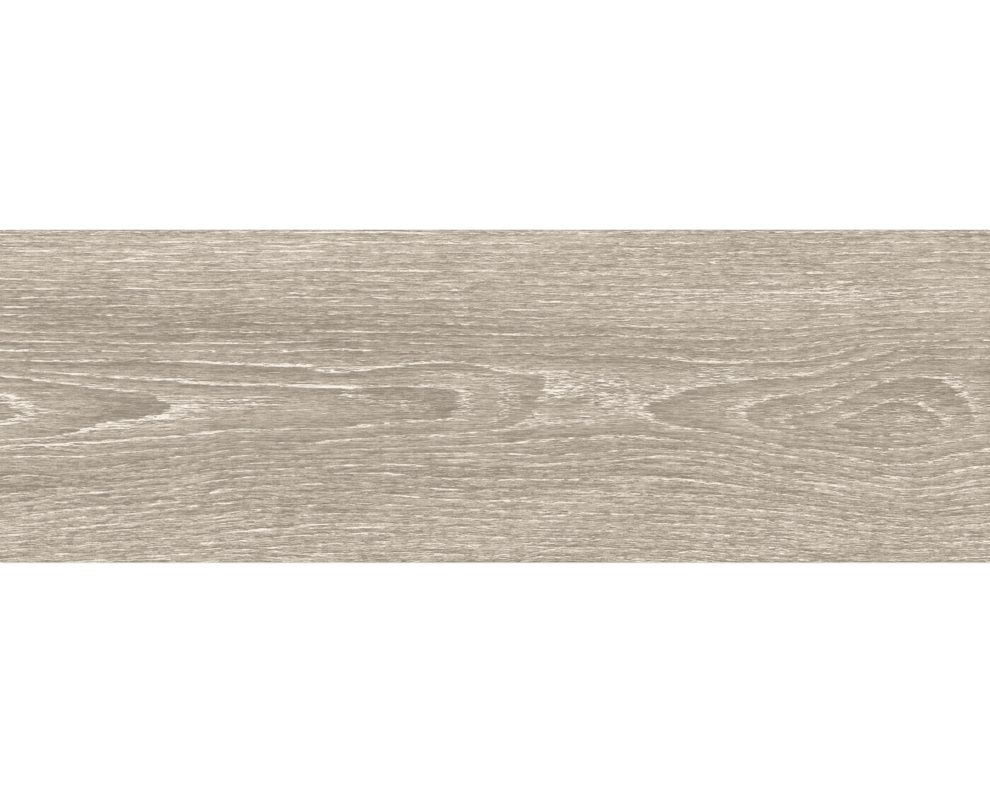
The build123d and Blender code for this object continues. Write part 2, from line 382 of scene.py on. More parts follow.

# Where the grain changes over the face, in mm from its middle, and the levels over which the print darkens
# down the arris, from the back
EASTWARD_MM = (-130.0, 140.0)
UPWARD_MM = (25.0, 60.0)
DOWNWARD_MM = (-20.0, -60.0)
LOW_EDGE_MM = (-66.0, -84.0)
ARRIS_DARKENING_LEVELS_MM = (8.6, 8.2)

# Where things lie in a ring, from 0 at its inner edge to 1 at the next ring
RING_EDGE = (0.05, 0.24)
LATE_WOOD = (0.30, 1.0)
# Painted shade line just before the next ring's pale edge
RING_SHADE_LINE = (0.80, 0.97)
FALSE_RING_AT = 0.5

# Ring numbers from the heart to the outer rings, and rings per mm from running along to crossing
OUTER_RINGS = (5.0, 9.5)
STEEP_SLANT = (0.01, 0.05)
LEAST_SLANT = 0.008

# Lime: how it opens pores, how much a place can hold, and how far the painted shade line beside a pore lies
# from it
PORE_NEED = 1.88
LIME_GAIN = 4.6
NEED_SOFTNESS = 0.2
LIME_CAP = 0.44
LIME_CAP_SOFTNESS = 0.15
FULLEST_PORE = 1.4
PORE_SHADE_MM = 0.6

# Tones of the print, from 0 for the darkest colour to 1 for the palest
BARE_TONE = 0.322
# Painted shade beside the pores, standing in for the shadow of their pressed grooves
PORE_SHADE_TONE = -0.20
ARRIS_DARKENING_TONE = -0.22

# Noise: how its lattice is turned, so that it doesn't line up with the fibres, and how far a seed moves it
LATTICE_TURN = 0.6
SEED_STEP = (17.3, 41.7)
STREAK_ROUGHNESS = 0.55


class Wiring:
    """Adds nodes to one shader or geometry tree and joins them up."""

    def __init__(self, tree):
        self.tree = tree

    def node(self, kind, **settings):
        made = self.tree.nodes.new(kind)
        for name, value in settings.items():
            setattr(made, name, value)
        return made

    def feed(self, socket, value):
        if isinstance(value, bpy.types.NodeSocket):
            self.tree.links.new(value, socket)
        else:
            socket.default_value = value

    def math(self, operation, *values):
        made = self.node("ShaderNodeMath", operation=operation)
        for socket, value in zip(made.inputs, values):
            self.feed(socket, value)
        return made.outputs[0]

    def total(self, first, *rest):
        for value in rest:
            first = self.math("ADD", first, value)
        return first

    def product(self, first, *rest):
        for value in rest:
            first = self.math("MULTIPLY", first, value)
        return first

    def scaled(self, value, factor, add=0.0):
        return self.math("MULTIPLY_ADD", value, factor, add)

    def rest_of(self, share):
        return self.math("SUBTRACT", 1.0, share)

    def blend(self, share, low, high):
        made = self.node("ShaderNodeMix", data_type="FLOAT")
        self.feed(made.inputs[0], share)
        self.feed(made.inputs[2], low)
        self.feed(made.inputs[3], high)
        return made.outputs[0]

    def tint(self, share, low, high):
        made = self.node("ShaderNodeMix", data_type="RGBA")
        self.feed(made.inputs[0], share)
        self.feed(made.inputs[6], low)
        self.feed(made.inputs[7], high)
        return made.outputs[2]

    def rise(self, value, low, high):
        made = self.node("ShaderNodeMapRange", interpolation_type="SMOOTHSTEP")
        self.feed(made.inputs["Value"], value)
        self.feed(made.inputs["From Min"], low)
        self.feed(made.inputs["From Max"], high)
        return made.outputs["Result"]

    def fade(self, value, reach):
        return self.math("EXPONENT", self.math("DIVIDE", value, -reach))

    def vector(self, operation, *values):
        made = self.node("ShaderNodeVectorMath", operation=operation)
        for socket, value in zip(made.inputs, values):
            self.feed(socket, value)
        return made.outputs[0]

    def in_mm(self, place):
        return self.vector("MULTIPLY", place, (1.0 / MM, 1.0 / MM, 1.0 / MM))

    def parts(self, vector):
        made = self.node("ShaderNodeSeparateXYZ")
        self.feed(made.inputs[0], vector)
        return made.outputs["X"], made.outputs["Y"], made.outputs["Z"]

    def joined(self, x, y, z):
        made = self.node("ShaderNodeCombineXYZ")
        for socket, value in zip(made.inputs, (x, y, z)):
            self.feed(socket, value)
        return made.outputs[0]

    def spread(self, place, size, seed):
        """Places counted in sizes of a pattern, along and across, at the seed's own part of it."""
        along, across = size
        start = (seed * SEED_STEP[0], seed * SEED_STEP[1], 0.0)
        return self.vector("MULTIPLY_ADD", place, (1.0 / along, 1.0 / across, 0.0), start)

    def streaks(self, place, size, seed, detail=0.0):
        """Smooth noise drawn out along the tile, about 0 in the middle."""
        turn = self.node("ShaderNodeVectorRotate", rotation_type="Z_AXIS")
        self.feed(turn.inputs["Vector"], self.spread(place, size, seed))
        self.feed(turn.inputs["Angle"], LATTICE_TURN)
        made = self.node("ShaderNodeTexNoise", noise_dimensions="2D")
        self.feed(made.inputs["Vector"], turn.outputs[0])
        self.feed(made.inputs["Scale"], 1.0)
        self.feed(made.inputs["Detail"], detail)
        self.feed(made.inputs["Roughness"], STREAK_ROUGHNESS)
        return self.math("SUBTRACT", made.outputs[0], 0.5)

    def slivers(self, place, size, seed):
        """Long thin cells, each with a chance value from -0.5 to 0.5."""
        made = self.node("ShaderNodeTexVoronoi", voronoi_dimensions="2D", feature="F1")
        self.feed(made.inputs["Vector"], self.spread(place, size, seed))
        self.feed(made.inputs["Scale"], 1.0)
        chance = self.parts(made.outputs["Color"])[0]
        return self.math("SUBTRACT", chance, 0.5)

    def grains(self, place, size, detail):
        """Noise of one size each way, about 0 in the middle."""
        made = self.node("ShaderNodeTexNoise", noise_dimensions="3D")
        self.feed(made.inputs["Vector"], place)
        self.feed(made.inputs["Scale"], 1.0 / size)
        self.feed(made.inputs["Detail"], detail)
        return self.math("SUBTRACT", made.outputs[0], 0.5)

    def seen_directly(self):
        """1 for rays that show a surface as a background, and 0 for rays that carry its light."""
        rays = self.node("ShaderNodeLightPath").outputs
        mirrored = self.math("MAXIMUM", rays["Is Glossy Ray"], rays["Is Transmission Ray"])
        return self.math("MAXIMUM", rays["Is Camera Ray"], mirrored)


def fibre_flow(w, place, row):
    """Places along and across the fibres, which sway a little."""
    x = w.parts(place)[0]
    sway = w.scaled(w.streaks(place, SWAY_MM, seed=1, detail=1), 1.2)
    return w.joined(x, w.math("ADD", row, sway), 0.0)


def feathered_rings(w, flow, ring, slant):
    """Ring numbers with feathered edges: the fibres throw a ring where it crosses them."""
    throw = w.total(
        w.scaled(w.streaks(flow, SHORT_THROW_MM, seed=2), 6.0),
        w.scaled(w.streaks(flow, LONG_THROW_MM, seed=7), 5.0),
    )
    feather = w.product(throw, w.scaled(slant, 1.0, LEAST_SLANT))
    drift = w.scaled(w.streaks(flow, DRIFT_MM, seed=3, detail=1), 0.15)
    return w.total(ring, feather, drift)


def dashes(w, flow, shortness):
    """Chance dashes that become pores, short at one end of the tile and long at the other."""
    short = w.product(w.slivers(flow, SHORT_DASH_MM, seed=4), shortness)
    long = w.product(w.slivers(flow, LONG_DASH_MM, seed=8), w.rest_of(shortness))
    band = w.streaks(flow, DASH_BAND_MM, seed=12)
    return w.total(w.scaled(w.total(short, long), 3.2), w.scaled(band, 1.6))


def open_pores(w, flow, limed, shortness, outer, long_pore):
    """Pores that hold lime, and the painted shade along them, which stands in for the shadow of their
    grooves.
    """
    need = w.scaled(limed, -LIME_GAIN, PORE_NEED)
    low_need = w.math("SUBTRACT", need, NEED_SOFTNESS)
    high_need = w.math("ADD", need, NEED_SOFTNESS)

    def opened(across):
        beside = w.vector("ADD", flow, (0.0, across, 0.0))
        return w.rise(dashes(w, beside, shortness), low_need, high_need)

    breaks = w.scaled(w.slivers(flow, PORE_BREAK_MM, seed=16), 2.4, 1.9)
    broken = w.product(long_pore, w.scaled(outer, 0.5, 0.5), breaks)
    pore = w.math("MINIMUM", w.math("MAXIMUM", opened(0.0), broken), FULLEST_PORE)
    # Painted shade: dark lines just beside each pore, and the dark lobes along the long pores, where a
    # groove's shadow would fall
    pore_shade = w.product(w.total(opened(PORE_SHADE_MM), opened(-PORE_SHADE_MM)), w.rest_of(pore))
    return pore, w.math("SUBTRACT", pore_shade, w.math("MINIMUM", broken, 0.0))


def limed_oak(w, place, ring, slant, row, lime, cloud, wash, false_ring, long_pore):
    """The print: how pale each place is, how deep the press leaves it, and where its pores are."""
    x, y, z = w.parts(place)
    flow = fibre_flow(w, place, row)
    grown = feathered_rings(w, flow, ring, slant)
    age = w.math("FRACT", grown)
    false_age = w.math("FRACT", w.math("SUBTRACT", grown, FALSE_RING_AT))
    outer = w.rise(ring, *OUTER_RINGS)
    steep = w.rise(slant, *STEEP_SLANT)
    held = w.math("POWER", lime, 0.5)

    # The pores run long at the left end and along the top edge, and short at the right end
    eastward = w.rise(x, *EASTWARD_MM)
    upward = w.rise(y, *UPWARD_MM)
    downward = w.rise(y, *DOWNWARD_MM)
    plain = w.math("MAXIMUM", upward, w.rise(y, *LOW_EDGE_MM))
    shortness = w.product(w.scaled(eastward, 0.55, 0.40), w.scaled(upward, -0.35, 1.0))

    # Open pores of the early wood hold lime, most at the ring's inner edge
    come_and_go = w.rise(w.streaks(flow, COME_AND_GO_MM, seed=14, detail=1), -0.25, 0.25)
    line = w.product(
        w.rest_of(w.rise(age, *RING_EDGE)),
        w.scaled(come_and_go, 0.8, 0.6),
        w.scaled(plain, -0.5, 1.0),
        w.scaled(steep, -0.6, 1.0),
    )
    early = w.total(
        w.product(line, w.scaled(outer, 0.40, 0.38)),
        w.product(w.fade(age, 0.42), w.total(w.scaled(outer, -0.20, 0.30), w.scaled(steep, 0.18))),
    )
    false_early = w.fade(false_age, 0.22)
    limed = w.total(
        w.product(held, early),
        w.product(w.total(w.scaled(false_ring, 0.6), w.scaled(outer, 0.09)), false_early),
        w.scaled(outer, 0.02),
        w.scaled(plain, 0.09),
        wash,
    )
    limed = w.math("SMOOTH_MIN", limed, LIME_CAP, LIME_CAP_SOFTNESS)
    pore, pore_shade = open_pores(w, flow, limed, shortness, outer, long_pore)

    # Fine fibres and broad streaks
    fleck = w.total(w.slivers(flow, FLECK_MM, seed=5), w.streaks(flow, SPECKLE_MM, seed=11))
    fleck_gain = w.total(w.scaled(limed, 0.7, 0.38), w.scaled(downward, 0.17), w.scaled(upward, 0.05))
    fibre = w.total(
        w.product(w.scaled(fleck, 0.8), fleck_gain),
        w.product(w.slivers(flow, FIBRE_MM, seed=6), w.scaled(downward, 0.07, 0.29)),
    )
    streak = w.total(
        w.scaled(w.streaks(flow, FINE_STREAK_MM, seed=9), 0.05),
        w.scaled(w.streaks(flow, BROAD_STREAK_MM, seed=10), 0.055),
    )

    # Dense late wood darkens towards the next ring, and the outer rings end in a thin painted shade line
    # just before the next ring's pale edge
    late = w.product(w.rise(age, *LATE_WOOD), w.scaled(outer, 0.05, -0.12))
    # Painted shade: a thin dark line before each outer ring's pale edge
    rim = w.product(w.rise(age, *RING_SHADE_LINE), w.scaled(outer, -0.05))
    bare = w.total(BARE_TONE, cloud, w.scaled(outer, 0.06), fibre, streak, late, rim)

    # Lime in the pores, as a milky film on the early wood, and as a thin line along the ring's edge
    chalk = w.product(
        w.blend(lime, 0.22, 0.48),
        w.scaled(outer, -0.1, 1.0),
        w.scaled(w.slivers(flow, CHALK_MM, seed=13), 0.9, 1.0),
        w.scaled(steep, -0.32, 1.0),
        w.scaled(eastward, -0.2, 1.2),
    )
    milk = w.product(held, w.fade(age, 0.4), w.scaled(steep, 0.11, 0.06))
    false_milk = w.product(false_ring, w.scaled(false_early, 0.10))
    edge = w.product(held, line, w.scaled(outer, 0.08, 0.13))
    whitened = w.total(w.product(pore, chalk), milk, false_milk, edge)

    # The print turns darker down the arris, below the face's level, with a ragged border
    arris_darkening = w.rise(w.math("ADD", z, w.streaks(place, ARRIS_RAGGEDNESS_MM, seed=15, detail=2)), *ARRIS_DARKENING_LEVELS_MM)
    # The painted shade beside the pores darkens the print here
    pale = w.total(bare, whitened, w.scaled(pore_shade, PORE_SHADE_TONE), w.scaled(arris_darkening, ARRIS_DARKENING_TONE))
    depth = w.total(w.scaled(pore, 0.6), w.scaled(early, 0.2), w.scaled(fibre, -0.5, 0.2))
    return pale, depth, pore


def ring_fields(x_px, y_px):
    """Ring number and lime at places on the face, smooth between the ring lines."""
    placed = [(x, y, ring, lime) for ring, lime, line in GROWTH_RINGS_PX for x, y in line]
    x, y, ring, lime = np.array(placed, float).T
    centres = np.stack([x / RING_STRETCH, y], axis=1) / RING_SPAN_PX
    spots = np.stack([x_px / RING_STRETCH, y_px], axis=1) / RING_SPAN_PX

    def squares(places):
        gap = places[:, None, :] - centres[None, :, :]
        return (gap ** 2).sum(axis=2)

    def plate(square):
        return 0.5 * square * np.log(square + LEAST_SQUARE)

    count = len(centres)
    flat = np.column_stack([np.ones(count), centres])
    system = np.zeros((count + 3, count + 3))
    system[:count, :count] = plate(squares(centres)) + RING_SMOOTHING * np.eye(count)
    system[:count, count:] = flat
    system[count:, :count] = flat.T
    pull = np.linalg.solve(system, np.concatenate([ring, np.zeros(3)]))

    rings = np.empty(len(spots))
    limes = np.empty(len(spots))
    for first in range(0, len(spots), PLACES_AT_ONCE):
        part = slice(first, first + PLACES_AT_ONCE)
        square = squares(spots[part])
        level = pull[count] + spots[part] @ pull[count + 1:]
        rings[part] = plate(square) @ pull[:count] + level
        near = 1.0 / (square + LIME_SMOOTHING) ** 2
        limes[part] = near @ lime / near.sum(axis=1)
    return rings, limes


def fibre_rows(x_px, y_px):
    """Where each place lies across the fibres, in mm.

    The fibres follow the rings outside the heart, and close up in it.
    """
    columns = np.linspace(x_px.min(), x_px.max(), FIBRE_COLUMNS)
    halves = []
    for far in (y_px.min(), y_px.max()):
        steps = np.linspace(HEART_LINE_PX, far, FIBRE_STEPS)
        along, across = np.meshgrid(columns, steps, indexing="ij")
        grown = ring_fields(along.ravel(), across.ravel())[0].reshape(across.shape)
        step = np.abs(steps[1] - steps[0]) * PX / MM
        inside = np.argmax(grown > HEART_RING, axis=1)[:, None]
        stretch = np.clip(np.diff(grown, axis=1) * RING_WIDTH_MM / step, *FIBRE_SPREAD)
        within = np.arange(FIBRE_STEPS - 1)[None, :] < inside
        stretch = np.where(within, HEART_REACH_MM / (inside * step), stretch)
        rows = np.cumsum(stretch * step, axis=1)
        halves.append((steps, np.concatenate([np.zeros((FIBRE_COLUMNS, 1)), rows], axis=1)))
    (up_steps, up_rows), (down_steps, down_rows) = halves
    rows = np.concatenate([up_rows[:, :0:-1], -down_rows], axis=1)
    steps = np.concatenate([up_steps[:0:-1], down_steps])

    column = np.interp(x_px, columns, np.arange(len(columns)))
    left = np.minimum(column.astype(int), len(columns) - 2)
    line = np.interp(y_px, steps, np.arange(len(steps)))
    above = np.minimum(line.astype(int), len(steps) - 2)
    right_share = column - left
    below_share = line - above
    upper = rows[left, above] * (1 - right_share) + rows[left + 1, above] * right_share
    lower = rows[left, above + 1] * (1 - right_share) + rows[left + 1, above + 1] * right_share
    followed = upper * (1 - below_share) + lower * below_share
    straight = (HEART_LINE_PX - y_px) * PX / MM
    return FIBRE_FOLLOW * followed + (1 - FIBRE_FOLLOW) * straight


def patch_field(patches, x_px, y_px):
    """Adds up soft oval patches."""
    field = np.zeros(len(x_px))
    for x, y, reach_x, reach_y, amount in patches:
        gap = ((x_px - x) / reach_x) ** 2 + ((y_px - y) / reach_y) ** 2
        field += amount * np.exp(-gap)
    return field


def pore_field(pores, x_px, y_px):
    """Draws thin pores from end to end, with painted shade along both sides, where the field is below 0."""
    field = np.zeros(len(x_px))
    for left, start, right, end, amount in pores:
        along = (x_px - left) / (right - left)
        off = y_px - start - (end - start) * along
        lime = np.exp(-(off / LONG_PORE_REACH_PX) ** 2)
        # Painted shade along both sides of the pore
        pore_shade = np.exp(-((np.abs(off) - PORE_SHADE_OFFSET_PX) / LONG_PORE_REACH_PX) ** 2)
        tapered = amount * np.exp(-(2 * along - 1) ** 8)
        field += tapered * (lime - PORE_SHADE_SHARE * pore_shade)
    return field


def colour(red, green, blue):
    """A colour written as it looks on screen, in steps of 255, as the shader takes it."""
    linear = []
    for value in (red, green, blue):
        share = value / 255.0
        linear.append(share / 12.92 if share <= 0.04045 else ((share + 0.055) / 1.055) ** 2.4)
    return (*linear, 1.0)


# Colours of the print by tone, and of the fired body under it
PRINT_COLOURS = (
    (0.00, colour(130, 118, 100)),
    (0.40, colour(181, 168, 151)),
    (0.70, colour(213, 201, 185)),
    (1.00, colour(250, 242, 231)),
)
BODY_DARK = colour(186, 173, 156)
BODY_PALE = colour(208, 199, 186)
BODY_SPECK = colour(142, 126, 108)
KILN_WASH = colour(228, 224, 216)
GLAZE_BREATH = colour(190, 178, 162)
MATTE_SPECULAR = 0.3

# The body's patterns in mm, how far specks stand out of the noise, and the height of its fired roughness
FIRING_MM = 45.0
PATCH_MM = 6.0
SPECK_MM = 1.3
DUST_MM = 0.7
SPECK_SHARE = (0.16, 0.26)
BODY_BUMP = 0.06 * MM
BODY_BUMP_STRENGTH = 0.5

# Levels between which the kiln wash on the ribs ends, and the glaze's overspill begins, in mm
WASH_SLOPE = -3.0
WASH_ENDS = (-1.1, 0.5)
OVERSPILL_BEGINS = (6.9, 8.3)


def start_material(name):
    """A matte ceramic material, its wiring and its shader, with places on the piece in mm."""
    material = bpy.data.materials.new(name)
    material.use_nodes = True
    w = Wiring(material.node_tree)
    shader = material.node_tree.nodes["Principled BSDF"]
    shader.inputs["Specular IOR Level"].default_value = MATTE_SPECULAR
    place = w.in_mm(w.node("ShaderNodeTexCoord").outputs["Object"])
    return material, w, shader, place


def print_material():
    """The glazed face: the limed-oak print, with a duller glaze where lime fills the pores."""
    material, w, shader, place = start_material("glazed_limed_oak_print")
    fields = [w.node("ShaderNodeAttribute", attribute_name=name).outputs["Fac"] for name in PRINT_FIELDS]
    pale, _, pore = limed_oak(w, place, *fields)
    ramp = w.node("ShaderNodeValToRGB")
    stops = ramp.color_ramp.elements
    while len(stops) < len(PRINT_COLOURS):
        stops.new(0.5)
    for stop, (at, tint) in zip(stops, PRINT_COLOURS):
        stop.position = at
        stop.color = tint
    w.feed(ramp.inputs[0], pale)
    w.feed(shader.inputs["Base Color"], ramp.outputs[0])
    w.feed(shader.inputs["Roughness"], w.scaled(pore, 0.15, 0.5))
    return material


def body_material():
    """Unglazed fired body: fine specks, a breath of glaze under the arris, kiln wash on the ribs."""
    material, w, shader, place = start_material("fired_body")
    level = w.parts(place)[2]
    firing = w.grains(place, FIRING_MM, 2.0)
    dust = w.grains(place, DUST_MM, 3.0)
    patches = w.grains(place, PATCH_MM, 2.0)
    specks = w.rise(w.grains(place, SPECK_MM, 0.0), *SPECK_SHARE)
    fine = w.scaled(dust, 0.8)

    body = w.tint(w.total(0.5, w.scaled(firing, 1.1), w.scaled(dust, 0.9)), BODY_DARK, BODY_PALE)
    body = w.tint(w.scaled(specks, 0.55), body, BODY_SPECK)
    kiln_wash = w.rise(w.total(w.scaled(level, WASH_SLOPE), w.scaled(patches, 2.2), fine), *WASH_ENDS)
    body = w.tint(w.scaled(kiln_wash, 0.7), body, KILN_WASH)
    overspill = w.rise(w.total(level, w.scaled(patches, 2.0), fine), *OVERSPILL_BEGINS)
    body = w.tint(w.scaled(overspill, 0.85), body, GLAZE_BREATH)
    w.feed(shader.inputs["Base Color"], body)
    w.feed(shader.inputs["Roughness"], w.total(0.84, w.scaled(dust, 0.15), w.scaled(overspill, -0.25)))

    bump = w.node("ShaderNodeBump")
    w.feed(bump.inputs["Strength"], BODY_BUMP_STRENGTH)
    w.feed(bump.inputs["Distance"], BODY_BUMP)
    w.feed(bump.inputs["Height"], w.total(dust, w.scaled(patches, 0.6)))
    w.feed(shader.inputs["Normal"], bump.outputs[0])
    return material


# Faces that meet at more than this show a sharp edge
SHARP_ANGLE = math.radians(35.0)

# Share of the back edge's radius that its middle loop keeps, inwards and up
BACK_EDGE_MIDDLE = 0.3

FACE_SLOT = 0
BODY_SLOT = 1


def outline_point(point, inset):
    """The place on the tile's rounded outline, drawn in by inset, that is nearest to a point."""
    radius = CORNER_RADIUS - inset
    heart = Vector((HALF_LENGTH - CORNER_RADIUS, HALF_WIDTH - CORNER_RADIUS))
    middle = Vector((
        max(-heart.x, min(heart.x, point.x)),
        max(-heart.y, min(heart.y, point.y)),
    ))
    away = (point.xy - middle).normalized()
    return middle + away * radius


def side_profile():
    """Inset from the outline and level of each loop down the side, from the arris to the back."""
    steps = []
    for i in range(1, ARRIS_STEPS + 1):
        turn = math.radians(90.0) * i / ARRIS_STEPS
        inset = ARRIS_RADIUS * (1 - math.sin(turn))
        steps.append((inset, FACE_LEVEL - ARRIS_RADIUS * (1 - math.cos(turn))))
    steps.append((0.0, FOOT_HEIGHT))
    foot = FOOT_HEIGHT * math.tan(FOOT_DRAFT)
    lean = BACK_EDGE_RADIUS * math.tan(FOOT_DRAFT)
    middle = BACK_EDGE_RADIUS * BACK_EDGE_MIDDLE
    steps.append((foot - lean, BACK_EDGE_RADIUS))
    steps.append((foot + middle, middle))
    steps.append((foot + BACK_EDGE_RADIUS, 0.0))
    return steps


def add_face(bm):
    """The gridded face, with rounded corners; gives the edges of its rim."""
    bmesh.ops.create_grid(bm, x_segments=FACE_COLUMNS, y_segments=FACE_ROWS, size=1.0)
    flat = (HALF_LENGTH - ARRIS_RADIUS, HALF_WIDTH - ARRIS_RADIUS, 1.0)
    bmesh.ops.scale(bm, vec=flat, verts=bm.verts)
    bmesh.ops.translate(bm, vec=(0.0, 0.0, FACE_LEVEL), verts=bm.verts)
    rim = [edge for edge in bm.edges if edge.is_boundary]
    for vert in {vert for edge in rim for vert in edge.verts}:
        vert.co.xy = outline_point(vert.co, ARRIS_RADIUS)
    return rim


def add_sides(bm, rim):
    """Arris, land and foot, drawn down from the face's rim."""
    for number, (inset, level) in enumerate(side_profile()):
        grown = bmesh.ops.extrude_edge_only(bm, edges=rim)["geom"]
        for vert in [item for item in grown if isinstance(item, bmesh.types.BMVert)]:
            vert.co.xy = outline_point(vert.co, inset)
            vert.co.z = level
        for face in [item for item in grown if isinstance(item, bmesh.types.BMFace)]:
            face.material_index = FACE_SLOT if number < ARRIS_STEPS else BODY_SLOT
        rim = [item for item in grown if isinstance(item, bmesh.types.BMEdge) and item.is_boundary]


def add_back(bm):
    """Key cells with drafted walls and cut corners, and the plain border that joins them to the foot."""
    keyed = bmesh.ops.create_grid(bm, x_segments=KEYS_LONG, y_segments=KEYS_WIDE, size=1.0)["verts"]
    bmesh.ops.scale(bm, vec=(KEYS_LONG * KEY_PITCH / 2, KEYS_WIDE * KEY_PITCH / 2, 1.0), verts=keyed)
    cells = list({face for vert in keyed for face in vert.link_faces})
    bmesh.ops.reverse_faces(bm, faces=cells)
    bmesh.ops.inset_individual(bm, faces=cells, thickness=RIB_WIDTH / 2)
    corners = list({vert for face in cells for vert in face.verts})
    bmesh.ops.bevel(
        bm, geom=corners, affect="VERTICES", offset=KEY_CORNER, offset_type="OFFSET",
        segments=1, profile=0.5, material=-1,
    )
    cells = [face for face in bm.faces if len(face.verts) == 8]
    bmesh.ops.inset_individual(bm, faces=cells, thickness=KEY_DEPTH * math.tan(KEY_DRAFT), depth=-KEY_DEPTH)
    open_edges = [edge for edge in bm.edges if edge.is_boundary]
    bmesh.ops.triangle_fill(bm, edges=open_edges, use_beauty=True, normal=(0.0, 0.0, -1.0))


def write_print_fields(mesh):
    """Keeps what the print needs to know about each place as attributes of the mesh."""
    at = np.empty(len(mesh.vertices) * 3)
    mesh.vertices.foreach_get("co", at)
    at = at.reshape(-1, 3)
    x_px = FRAME_WIDTH_PX / 2 + at[:, 0] / PX
    y_px = FRAME_HEIGHT_PX / 2 - at[:, 1] / PX
    rings, limes = ring_fields(x_px, y_px)
    further = ring_fields(x_px + SLANT_STEP_PX, y_px)[0]
    fields = {
        "ring": rings,
        "slant": np.abs(further - rings) * MM / (SLANT_STEP_PX * PX),
        "row": fibre_rows(x_px, y_px),
        "lime": limes,
        "cloud": patch_field(CLOUDS_PX, x_px, y_px),
        "wash": patch_field(LIME_WASH_PX, x_px, y_px),
        "false_ring": patch_field(FALSE_RING_PX, x_px, y_px),
        "long_pore": pore_field(LONG_PORES_PX, x_px, y_px),
    }
    for name in PRINT_FIELDS:
        layer = mesh.attributes.new(name, "FLOAT", "POINT")
        layer.data.foreach_set("value", fields[name].astype(np.float32))


def make_tile():
    """The whole tile as one closed mesh: gridded face, arris, land, foot, and back with its key cells."""
    bm = bmesh.new()
    add_sides(bm, add_face(bm))
    add_back(bm)
    for face in bm.faces:
        face.smooth = True
        if face.calc_center_median().z < FOOT_HEIGHT:
            face.material_index = BODY_SLOT
    bmesh.ops.recalc_face_normals(bm, faces=bm.faces)

    mesh = bpy.data.meshes.new("floor_tile_face_and_body")
    mesh.materials.append(print_material())
    mesh.materials.append(body_material())
    bm.to_mesh(mesh)
    bm.free()
    mesh.set_sharp_from_angle(angle=SHARP_ANGLE)
    write_print_fields(mesh)
    tile = bpy.data.objects.new("wood_look_tile", mesh)
    bpy.context.scene.collection.objects.link(tile)
    return tile


# How close to the face's level a place has to be to be pressed, and the plain margin along the arris
PRESSED_LEVELS = (FACE_LEVEL - 0.02 * MM, FACE_LEVEL - 0.01 * MM)
PRESSED_MARGIN = 1.5 * MM


def press_grain(tile):
    """Presses the grain into the face, in register with the print."""
    tree = bpy.data.node_groups.new("Pressed grain", "GeometryNodeTree")
    tree.interface.new_socket("Geometry", in_out="INPUT", socket_type="NodeSocketGeometry")
    tree.interface.new_socket("Geometry", in_out="OUTPUT", socket_type="NodeSocketGeometry")
    w = Wiring(tree)
    given = w.node("NodeGroupInput")
    done = w.node("NodeGroupOutput")
    position = w.node("GeometryNodeInputPosition").outputs[0]
    fields = []
    for name in PRINT_FIELDS:
        field = w.node("GeometryNodeInputNamedAttribute", data_type="FLOAT")
        w.feed(field.inputs["Name"], name)
        fields.append(field.outputs[0])
    depth = limed_oak(w, w.in_mm(position), *fields)[1]

    x, y, z = w.parts(position)
    on_face = w.rise(z, *PRESSED_LEVELS)
    far_x = w.math("SUBTRACT", HALF_LENGTH - ARRIS_RADIUS, w.math("ABSOLUTE", x))
    far_y = w.math("SUBTRACT", HALF_WIDTH - ARRIS_RADIUS, w.math("ABSOLUTE", y))
    inside = w.rise(w.math("MINIMUM", far_x, far_y), 0.0, PRESSED_MARGIN)
    sunk = w.product(w.math("MAXIMUM", depth, 0.0), on_face, inside)
    press = w.node("GeometryNodeSetPosition")
    w.feed(press.inputs["Geometry"], given.outputs[0])
    w.feed(press.inputs["Offset"], w.joined(0.0, 0.0, w.scaled(sunk, -GRAIN_DEPTH)))
    w.feed(done.inputs[0], press.outputs[0])

    modifier = tile.modifiers.new("Pressed grain", "NODES")
    modifier.node_group = tree
    pressed = bpy.data.meshes.new_from_object(tile.evaluated_get(bpy.context.evaluated_depsgraph_get()))
    pressed.name = tile.data.name
    tile.modifiers.clear()
    tile.data = pressed


# The sheet that the print is baked on: low edge and height of the strips for face, back and sides
SHEET_MARGIN = 0.004
FACE_LOW, FACE_HEIGHT = 0.36, 0.63
BACK_LOW, BACK_HEIGHT = 0.11, 0.23
REAR_SIDE_LOW = 0.070
FRONT_SIDE_LOW = 0.040
END_SIDES_LOW = 0.010
SIDE_HEIGHT = 0.025

# How far up or down a face of the mesh points to count as part of the face or the back
FACE_TILT = 0.5
BACK_TILT = -0.3


